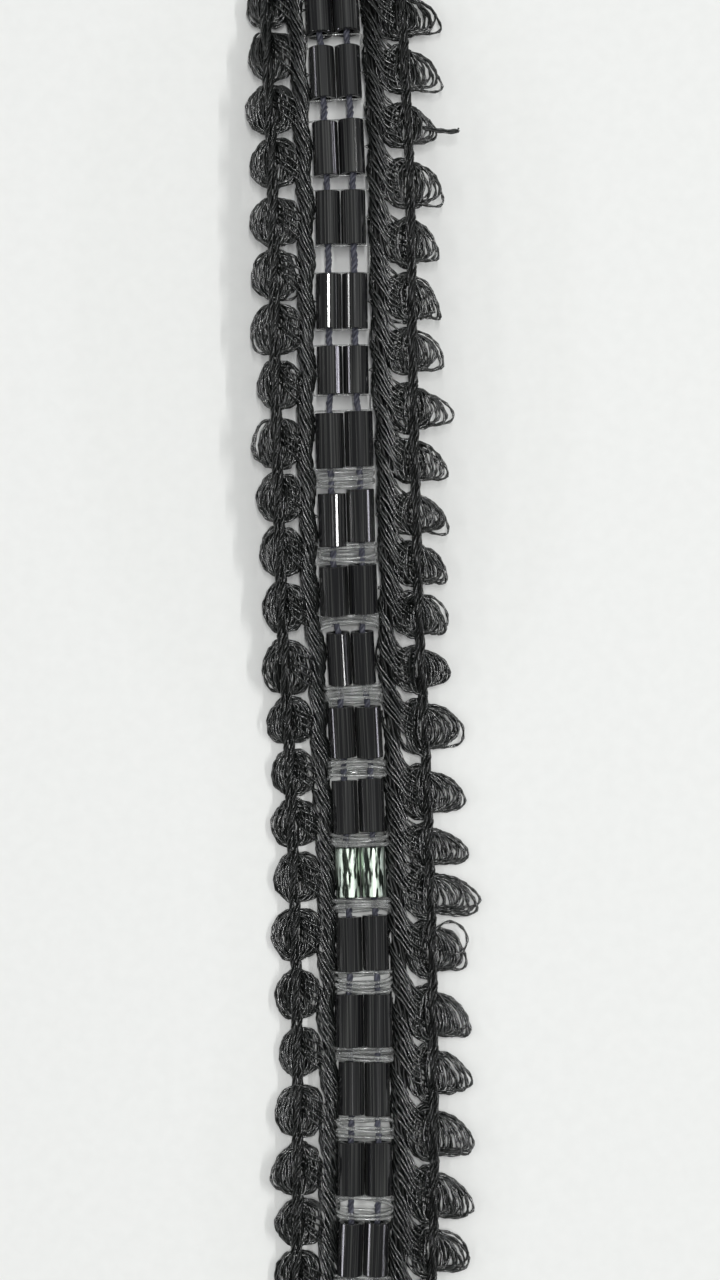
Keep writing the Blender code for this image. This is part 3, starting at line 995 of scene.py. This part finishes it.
def button_loop(side, row, share, low):
    """One closed loop. All cross at the chain, over and under the button, and bow out from it:
    the wide ones lie outside and low, the narrow ones inside and high."""
    angle = np.linspace(0.0, math.tau, LOOP_POINTS, endpoint=False)
    lean = np.cos(angle)
    outer = lean > 0.0
    chain = CHAIN_ACROSS[side]
    outward = (row.reach - THREAD_RADIUS - chain) * share * dice.uniform(*REACH_VARIES)
    if low and row.along > AIRY_ABOVE:
        outward *= AIRY_REACH[side]
    inner_share = min(1.0, share + dice.uniform(*INWARD_VARIES))
    if low:
        inner_share = LOW_INWARD * share
    inward = (chain - gimp_outer(side, row.along) + LOOP_OVER_GIMP[side]) * inner_share
    outer_tall = row.tall * OUTER_TALL[side] * dice.uniform(*OUTER_VARIES)
    fuller = np.interp(row.along, FULLER_BELOW, (INNER_FULLER[side], 0.0))
    inner_tall = row.tall * (dice.uniform(*INNER_VARIES) + fuller)
    outer_bow = dice.uniform(*OUTER_BOW)
    inner_bow = dice.uniform(*INNER_BOW[side])
    bow = np.abs(lean) ** np.where(outer, outer_bow, inner_bow)
    across = chain + np.where(outer, outward, -inward) * bow
    along = row.along + dice.uniform(-LOOP_SCATTER, LOOP_SCATTER)
    along = along + np.where(outer, outer_tall, inner_tall) / 2 * np.sin(angle)
    fan = dice.uniform(-LOOP_FAN[side], 0.5 * LOOP_FAN[side])
    droop = row.droop + dice.uniform(0.0, TIP_DROOP[side]) * share
    along = along + np.maximum(across - chain, 0.0) * fan - droop * np.maximum(lean, 0.0) ** 2
    across = across + wander(LOOP_POINTS + 1, LOOP_WANDER[0], LOOP_WAVES)[:-1]
    along = along + wander(LOOP_POINTS + 1, LOOP_WANDER[1], LOOP_WAVES)[:-1]
    crest = LOOP_LOW if low else LOOP_RIM + LOOP_CREST * math.sqrt(max(0.0, 1 - share**2))
    roll = LOW_ROLL if low else TOP_ROLL
    height = crest + roll * np.sin(angle * 2 + dice.uniform(0.0, math.tau))
    height = height + dice.uniform(*LOOP_LEVELS)
    return laid(side * across, along, np.maximum(height, LOOP_FLOOR))


for side in (LEFT, RIGHT):
    loops = []
    for row in BUTTONS[side]:
        for k in range(TOP_LOOPS):
            share = NARROWEST + (1 - NARROWEST) * k / (TOP_LOOPS - 1)
            loops.append(button_loop(side, row, share, False))
        for k in range(LOW_LOOPS):
            share = LOW_WIDEST * (k + LOW_START) / LOW_LOOPS
            loops.append(button_loop(side, row, share, True))
    buttons = threads(f"{SIDE_NAMES[side]}_buttons", loops, THREAD_RADIUS, black, True, LOOP_STEP)
    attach(buttons, "root")
    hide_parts(f"{SIDE_NAMES[side]}_edging")

# Loose ends. One thread sticks out of the right edging near the top of the photograph, where a
# loop was cut, and one slack loop stands off a button lower down.
STRAY_PLIES = (0.0, 0.17)
STRAY_POINTS, SLACK_POINTS = 40, 60
SLACK_HEIGHT = 0.9
STRAY = (
    (6.3, 41.6, 0.7),
    (7.6, 41.2, 1.0),
    (8.8, 40.95, 1.1),
    (9.75, 40.95, 1.0),
    (9.85, 41.1, 1.0),
)
SLACK_LOOP = (
    (5.7, -24.7),
    (6.5, -23.6),
    (7.5, -23.4),
    (8.4, -24.1),
    (8.6, -25.1),
    (8.0, -25.9),
    (6.7, -25.9),
)


def curved(corners, closed=False):
    """A smooth line through a few points."""
    corners = np.array(corners)
    fine = np.linspace(0, len(corners) - 1, STRAY_POINTS)
    if closed:
        corners = np.vstack([corners[-2:], corners, corners[:2]])
        fine = np.linspace(1, len(corners) - 3, SLACK_POINTS, endpoint=False)
    ends = fine.astype(int).clip(0, len(corners) - 2)
    t = (fine - ends)[:, None]
    slopes = np.gradient(corners, axis=0)
    return bent(corners[ends], corners[ends + 1], slopes[ends], slopes[ends + 1], t)


stray = curved(STRAY)
slack = curved(SLACK_LOOP, True)
loose = [laid(stray[:, 0], stray[:, 1] + shift, stray[:, 2]) for shift in STRAY_PLIES]
loose.append(laid(slack[:, 0], slack[:, 1], SLACK_HEIGHT))
loose_ends = threads("loose_ends", loose, THREAD_RADIUS, black)
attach(loose_ends, "root")

# Binding threads. A single thread in each slit ties the gimp to the bead strings: it runs along
# the gimp's edge and hooks in between gimp and bead at the middle of every bead. Low on the
# trim, where the slits close, it lies hidden in the gimp.
BIND_RADIUS = 0.07
BIND_INSET = (0.46, 0.16)
BIND_HEIGHT = (0.5, 0.8)
HOOK_IN, HOOK_UP = 0.5, 0.25
HOOK_LENGTH = 0.14
BIND_POINTS = 1200
for side in (LEFT, RIGHT):
    along = np.linspace(HALF_LENGTH, -HALF_LENGTH, BIND_POINTS)
    shown = np.interp(along, SLITS_CLOSE, (0.0, 1.0))
    hook = shown * sum(np.exp(-(((along - pair.along) / HOOK_LENGTH) ** 2)) for pair in PAIRS)
    hook = np.minimum(hook, 1.0)
    inset = np.interp(along, SLITS_CLOSE, BIND_INSET) - HOOK_IN * hook
    height = np.interp(along, SLITS_CLOSE, BIND_HEIGHT) + HOOK_UP * hook
    path = laid(side * (gimp_inner(along) + inset), along, height)
    binding = threads(f"{SIDE_NAMES[side]}_binding", [path], BIND_RADIUS, black)
    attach(binding, "root")

bpy.data.objects.remove(profile)
